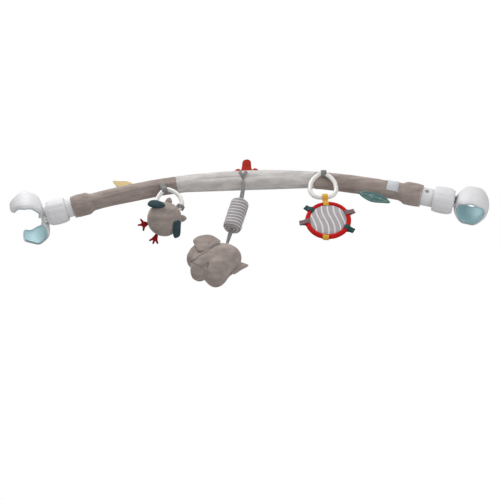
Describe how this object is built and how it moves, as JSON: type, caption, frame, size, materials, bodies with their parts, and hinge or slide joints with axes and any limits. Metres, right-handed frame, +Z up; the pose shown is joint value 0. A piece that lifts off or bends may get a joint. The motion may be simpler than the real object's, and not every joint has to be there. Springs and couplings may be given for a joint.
{
  "type": "stroller arch toy",
  "caption": "Padded, bendable arch toy with a swivelling screw clamp at each end and three hanging soft toys on rings and a strap.",
  "frame": {"origin": "grip centre of the left clamp, where the tube that it holds runs through its closed jaws", "axes": "+X from the left clamp to the right clamp, +Z up from the clamps to the arch's crown, -Y towards the side a child sees"},
  "size_m": [0.7285, 0.1095, 0.2408],
  "materials": {
    "velour_taupe": "short-pile velour, taupe",
    "velour_grey": "short-pile velour, light grey",
    "foam": "soft foam tube",
    "strip_plastic": "springy strip",
    "plastic_white": "satin moulded white",
    "plastic_ring": "smooth glossy off-white",
    "steel": "plain screw steel",
    "liner_aqua": "soft aqua liner",
    "ribbon_grey": "woven grey ribbon",
    "ribbon_green": "woven dark green ribbon",
    "ribbon_mauve": "woven mauve ribbon",
    "ribbon_yellow": "woven yellow ribbon",
    "fabric_slate": "slate jersey",
    "felt_wine": "wine felt",
    "felt_red": "red felt",
    "felt_yellow": "pale yellow felt",
    "felt_green": "green felt with stitched veins",
    "fabric_striped": "grey-mauve jersey with thin white stripes",
    "fabric_red": "red piped rim",
    "label_white": "satin care label, left blank",
    "filling": "fibre filling"
  },
  "bodies": {
    "root": {"arch_core": "strip_plastic", "arch_foam": "foam", "cover_left": "velour_taupe", "cover_centre": "velour_grey", "cover_right": "velour_taupe", "left_socket": "plastic_white", "left_socket_screw": "steel", "right_socket": "plastic_white", "right_socket_screw": "steel", "felt_flower_red": "felt_red", "felt_leaf_yellow": "felt_yellow", "felt_leaf_green": "felt_green", "care_label": "label_white"},
    "left_carrier": {"left_jaw_carrier": "plastic_white", "left_jaw_pin": "steel"},
    "left_thrust": {"left_thrust_ring": "plastic_white"},
    "left_nut": {"left_collar": "plastic_white"},
    "left_front": {"left_front_jaw": "plastic_white", "left_front_liner": "liner_aqua"},
    "left_back": {"left_back_jaw": "plastic_white", "left_back_liner": "liner_aqua"},
    "right_carrier": {"right_jaw_carrier": "plastic_white", "right_jaw_pin": "steel"},
    "right_thrust": {"right_thrust_ring": "plastic_white"},
    "right_nut": {"right_collar": "plastic_white"},
    "right_front": {"right_front_jaw": "plastic_white", "right_front_liner": "liner_aqua"},
    "right_back": {"right_back_jaw": "plastic_white", "right_back_liner": "liner_aqua"},
    "owl_hanger": {"owl_loop": "ribbon_grey"},
    "owl_ring": {"owl_ring": "plastic_ring"},
    "owl": {"owl_tab": "ribbon_grey", "owl_body": "velour_taupe", "owl_ear_left": "velour_taupe", "owl_ear_right": "velour_taupe", "owl_wing_left": "fabric_slate", "owl_wing_right": "fabric_slate", "owl_foot_left": "felt_wine", "owl_foot_right": "felt_wine"},
    "strap": {"strap_upper": "ribbon_grey"},
    "roll": {"roll_cover": "fabric_striped", "roll_core": "filling"},
    "elephant": {"strap_lower": "ribbon_grey", "elephant_body": "velour_taupe", "elephant_head": "velour_taupe", "elephant_ear_front": "velour_taupe", "elephant_ear_back": "velour_taupe", "elephant_legs_front": "velour_taupe", "elephant_legs_hind": "velour_taupe", "elephant_tail": "velour_taupe"},
    "disc_hanger": {"disc_loop": "ribbon_grey"},
    "disc_ring": {"disc_ring": "plastic_ring"},
    "disc": {"disc_pad": "fabric_striped", "disc_rim": "fabric_red", "disc_tab_yellow_top": "ribbon_yellow", "disc_tab_green_left": "ribbon_green", "disc_tab_green_right": "ribbon_green", "disc_tab_mauve_left": "ribbon_mauve", "disc_tab_mauve_right": "ribbon_mauve", "disc_tab_yellow_bottom": "ribbon_yellow"}
  },
  "joints": [
    {"name": "left_swivel", "type": "hinge", "parent": "root", "child": "left_carrier", "pos_m": [0.07172, 0, 0.02195], "axis": [-0.9562, 0, -0.2927], "range_deg": [-90, 90]},
    {"name": "left_thrust_slide", "type": "slide", "parent": "left_carrier", "child": "left_thrust", "axis": [-0.9562, 0, -0.2927], "range_m": [0, 0.008]},
    {"name": "left_collar_spin", "type": "hinge", "parent": "left_thrust", "child": "left_nut", "pos_m": [0.07172, 0, 0.02195], "axis": [-0.9562, 0, -0.2927], "range_deg": [0, 360]},
    {"name": "left_front_jaw_hinge", "type": "hinge", "parent": "left_carrier", "child": "left_front", "pos_m": [0.02964, 0, 0.00907], "axis": [-0.2898, 0.1392, 0.9469], "range_deg": [-36, 0]},
    {"name": "left_back_jaw_hinge", "type": "hinge", "parent": "left_carrier", "child": "left_back", "pos_m": [0.02964, 0, 0.00907], "axis": [-0.2898, 0.1392, 0.9469], "range_deg": [0, 36]},
    {"name": "right_swivel", "type": "hinge", "parent": "root", "child": "right_carrier", "pos_m": [0.61354, 0, 0.02195], "axis": [0.9562, 0, -0.2927], "range_deg": [-90, 90]},
    {"name": "right_thrust_slide", "type": "slide", "parent": "right_carrier", "child": "right_thrust", "axis": [0.9562, 0, -0.2927], "range_m": [-0.008, 0]},
    {"name": "right_collar_spin", "type": "hinge", "parent": "right_thrust", "child": "right_nut", "pos_m": [0.61354, 0, 0.02195], "axis": [0.9562, 0, -0.2927], "range_deg": [-360, 0]},
    {"name": "right_front_jaw_hinge", "type": "hinge", "parent": "right_carrier", "child": "right_front", "pos_m": [0.65561, 0, 0.00907], "axis": [0.2898, 0.1392, 0.9469], "range_deg": [-36, 0]},
    {"name": "right_back_jaw_hinge", "type": "hinge", "parent": "right_carrier", "child": "right_back", "pos_m": [0.65561, 0, 0.00907], "axis": [0.2898, 0.1392, 0.9469], "range_deg": [0, 36]},
    {"name": "owl_loop_swing", "type": "hinge", "parent": "root", "child": "owl_hanger", "pos_m": [0.21309, -0.01363, 0.05184], "axis": [-0.9869, 0, -0.1614], "range_deg": [0, 60]},
    {"name": "owl_ring_tilt", "type": "hinge", "parent": "owl_hanger", "child": "owl_ring", "pos_m": [0.22574, -0.017, 0.01707], "axis": [0, 1, 0], "range_deg": [-12, 3]},
    {"name": "owl_swing", "type": "hinge", "parent": "owl_ring", "child": "owl", "pos_m": [0.24638, -0.017, 0.00155], "axis": [0.3944, 0, 0.9189], "range_deg": [-7, 10]},
    {"name": "strap_swing", "type": "hinge", "parent": "root", "child": "strap", "pos_m": [0.34123, -0.0147, 0.07187], "axis": [-1, 0, 0], "range_deg": [0, 60]},
    {"name": "roll_tilt", "type": "hinge", "parent": "strap", "child": "roll", "pos_m": [0.3377, -0.015, 0.00785], "axis": [0, 1, 0], "range_deg": [-15, 2]},
    {"name": "elephant_tilt", "type": "hinge", "parent": "roll", "child": "elephant", "pos_m": [0.32756, -0.015, -0.04111], "axis": [0, 1, 0], "range_deg": [-4, 15]},
    {"name": "disc_loop_swing", "type": "hinge", "parent": "root", "child": "disc_hanger", "pos_m": [0.46723, -0.01039, 0.06872], "axis": [-0.9883, 0, 0.1523], "range_deg": [0, 60]},
    {"name": "disc_ring_tilt", "type": "hinge", "parent": "disc_hanger", "child": "disc_ring", "pos_m": [0.46565, -0.019, 0.03685], "axis": [0, 1, 0], "range_deg": [-11, 11]},
    {"name": "disc_swing", "type": "hinge", "parent": "disc_ring", "child": "disc", "pos_m": [0.46565, -0.019, 0.01085], "axis": [-1, 0, 0], "range_deg": [-60, 60]}
  ],
  "couplings": [
    {"joint": "left_thrust_slide", "follows": "left_collar_spin", "m_per_rad": 0.0012732},
    {"joint": "left_front_jaw_hinge", "follows": "left_collar_spin", "ratio": -0.1},
    {"joint": "left_back_jaw_hinge", "follows": "left_collar_spin", "ratio": 0.1},
    {"joint": "right_thrust_slide", "follows": "right_collar_spin", "m_per_rad": 0.0012732},
    {"joint": "right_front_jaw_hinge", "follows": "right_collar_spin", "ratio": 0.1},
    {"joint": "right_back_jaw_hinge", "follows": "right_collar_spin", "ratio": -0.1}
  ]
}
